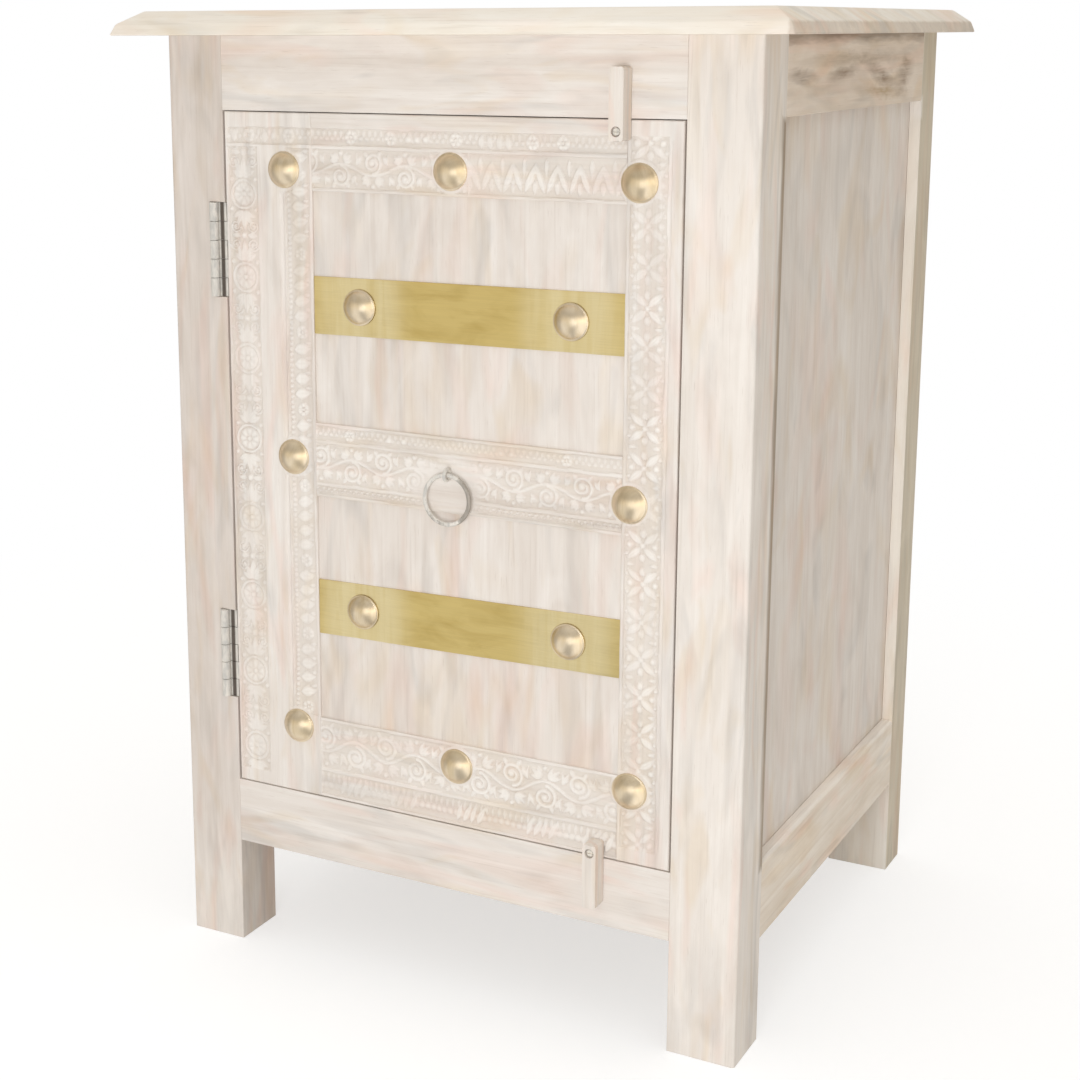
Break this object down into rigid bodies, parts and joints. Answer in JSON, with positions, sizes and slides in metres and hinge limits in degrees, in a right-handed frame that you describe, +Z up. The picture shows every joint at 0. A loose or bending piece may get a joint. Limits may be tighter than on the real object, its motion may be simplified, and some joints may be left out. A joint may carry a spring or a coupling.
{
  "type": "nightstand",
  "caption": "Whitewashed wooden bedside cabinet with square legs, an overhanging bevelled top and one carved door with brass strips, domed studs and a ring pull.",
  "frame": {"origin": "on the floor, under the middle of the outline that the top board casts", "axes": "+Z up, the door faces -Y, +X to the viewer's right"},
  "size_m": [0.452, 0.382, 0.629],
  "materials": {
    "limed_wood": "whitewashed, dull",
    "limed_top": "whitewashed, creamier, dull",
    "carved_wood": "whitewashed over carving, dull",
    "panel_wood": "whitewashed, upright grain, dull",
    "inside_wood": "thinly whitewashed, dull",
    "button_wood": "whitewashed, rubbed",
    "brass_sheet": "polished, slightly hammered",
    "brass_domes": "polished",
    "hinge_steel": "worn, smeared with whitewash",
    "zinc_steel": "zinc plated",
    "limed_iron": "smeared with whitewash",
    "catch_plastic": "moulded",
    "magnet": "sintered"
  },
  "bodies": {
    "cabinet": {"top_board": "limed_top", "leg_front_left": "limed_wood", "leg_front_right": "limed_wood", "leg_back_left": "limed_wood", "leg_back_right": "limed_wood", "rail_front_top": "limed_wood", "rail_front_bottom": "limed_wood", "rail_left_top": "limed_wood", "rail_left_bottom": "limed_wood", "rail_right_top": "limed_wood", "rail_right_bottom": "limed_wood", "side_panel_left": "limed_wood", "side_panel_right": "limed_wood", "rail_back_top": "limed_wood", "rail_back_bottom": "limed_wood", "back_panel": "inside_wood", "floor_board": "inside_wood", "floor_cleats": "inside_wood", "shelf_board": "inside_wood", "shelf_cleats": "inside_wood", "top_cleats": "inside_wood", "door_stop_strip": "inside_wood", "hinge_lower_frame_leaf": "hinge_steel", "hinge_upper_frame_leaf": "hinge_steel", "hinge_lower_pin": "hinge_steel", "hinge_upper_pin": "hinge_steel", "top_screws": "zinc_steel", "catch_screws": "zinc_steel", "hinge_frame_screws": "zinc_steel", "catch_case": "catch_plastic", "catch_magnet": "magnet"},
    "door": {"door_stile_hinge": "carved_wood", "door_stile_closing": "carved_wood", "door_rail_top": "carved_wood", "door_rail_middle": "carved_wood", "door_rail_bottom": "carved_wood", "door_panel_upper": "panel_wood", "door_panel_lower": "panel_wood", "brass_strip_upper": "brass_sheet", "brass_strip_lower": "brass_sheet", "frame_studs": "brass_domes", "strip_studs": "brass_domes", "hinge_lower_door_leaf": "hinge_steel", "hinge_upper_door_leaf": "hinge_steel", "hinge_door_screws": "zinc_steel", "strike_plate": "zinc_steel", "strike_screws": "zinc_steel", "pull_eye": "limed_iron", "turn_button_screws": "zinc_steel"},
    "ring": {"pull_ring": "limed_iron"},
    "top_turn_button": {"turn_button_top": "button_wood"},
    "bottom_turn_button": {"turn_button_bottom": "button_wood"}
  },
  "joints": [
    {"name": "door_hinge", "type": "hinge", "parent": "cabinet", "child": "door", "pos_m": [-0.1675, -0.164, 0.3425], "axis": [0, 0, -1], "range_deg": [0, 160]},
    {"name": "ring_swing", "type": "hinge", "parent": "door", "child": "ring", "pos_m": [0.0055, -0.169, 0.349], "axis": [-1, 0, 0], "range_deg": [0, 170]},
    {"name": "top_button_turn", "type": "hinge", "parent": "door", "child": "top_turn_button", "pos_m": [0.11825, -0.164, 0.5605], "axis": [0, -1, 0], "range_deg": [-90, 90]},
    {"name": "bottom_button_turn", "type": "hinge", "parent": "door", "child": "bottom_turn_button", "pos_m": [0.10775, -0.164, 0.1245], "axis": [0, -1, 0], "range_deg": [-90, 90]}
  ]
}
